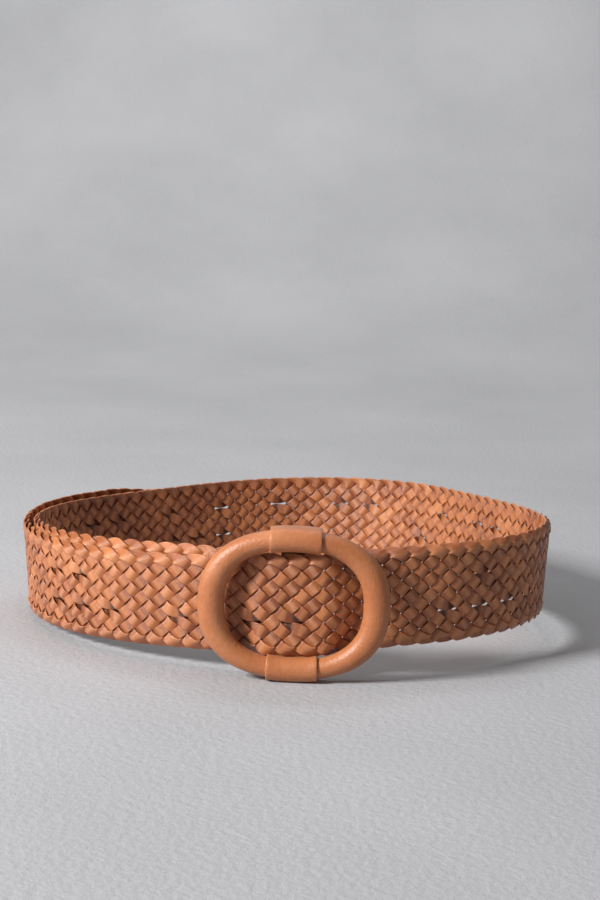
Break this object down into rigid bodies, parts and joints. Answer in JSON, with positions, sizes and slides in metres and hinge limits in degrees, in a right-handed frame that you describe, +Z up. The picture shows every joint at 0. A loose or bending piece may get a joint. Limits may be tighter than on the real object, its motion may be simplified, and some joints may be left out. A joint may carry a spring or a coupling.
{
  "type": "braided leather belt",
  "caption": "Wide waist belt woven from flat leather laces, closed through a leather-covered oval ring buckle with a centre bar and standing on edge as a loop.",
  "frame": {"origin": "bottom centre of the standing belt's bounding box, on the surface it stands on", "axes": "+Z up; the buckle faces -Y; +X is to the right seen from the buckle's front; the free end runs round the left side outside the first layer"},
  "size_m": [0.2856, 0.292, 0.0755],
  "materials": {
    "braid": "waxed tan lace leather, light raw edges",
    "smooth_leather": "smooth tan leather, fine grain, soft sheen",
    "thread": "waxed thread",
    "core": "moulded, unseen",
    "bar": "flat strip, mostly hidden"
  },
  "bodies": {
    "strap": {"lower_braid": "braid", "middle_braid": "braid", "upper_braid": "braid", "buckle_tab": "smooth_leather", "tab_face_thread_1": "thread", "tab_face_thread_2": "thread", "tab_back_thread_1": "thread", "tab_back_thread_2": "thread"},
    "buckle": {"ring_core": "core", "ring_cover_left": "smooth_leather", "ring_cover_right": "smooth_leather", "ring_seam_left": "thread", "ring_seam_right": "thread", "centre_bar": "bar", "top_wrap": "smooth_leather", "bottom_wrap": "smooth_leather"},
    "tail_front": {"lower_braid_tail_front": "braid", "middle_braid_tail_front": "braid", "upper_braid_tail_front": "braid"},
    "tail_rear": {"lower_braid_tail_rear": "braid", "middle_braid_tail_rear": "braid", "upper_braid_tail_rear": "braid", "tail_cap": "smooth_leather", "cap_face_thread": "thread", "cap_back_thread": "thread"}
  },
  "joints": [
    {"name": "buckle_swing", "type": "hinge", "parent": "strap", "child": "buckle", "pos_m": [0.00591, -0.13055, 0.03807], "axis": [0.0011, -0.0463, 0.9989], "range_deg": [-2.5, 2.5]},
    {"name": "tail_front_bend", "type": "hinge", "parent": "strap", "child": "tail_front", "pos_m": [-0.05939, -0.11756, 0.03544], "axis": [-0.0379, 0.0474, 0.9982], "range_deg": [0, 35]},
    {"name": "tail_side_bend", "type": "hinge", "parent": "tail_front", "child": "tail_rear", "pos_m": [-0.1418, -0.00698, 0.02707], "axis": [-0.0379, 0.0474, 0.9982], "range_deg": [0, 50]}
  ]
}
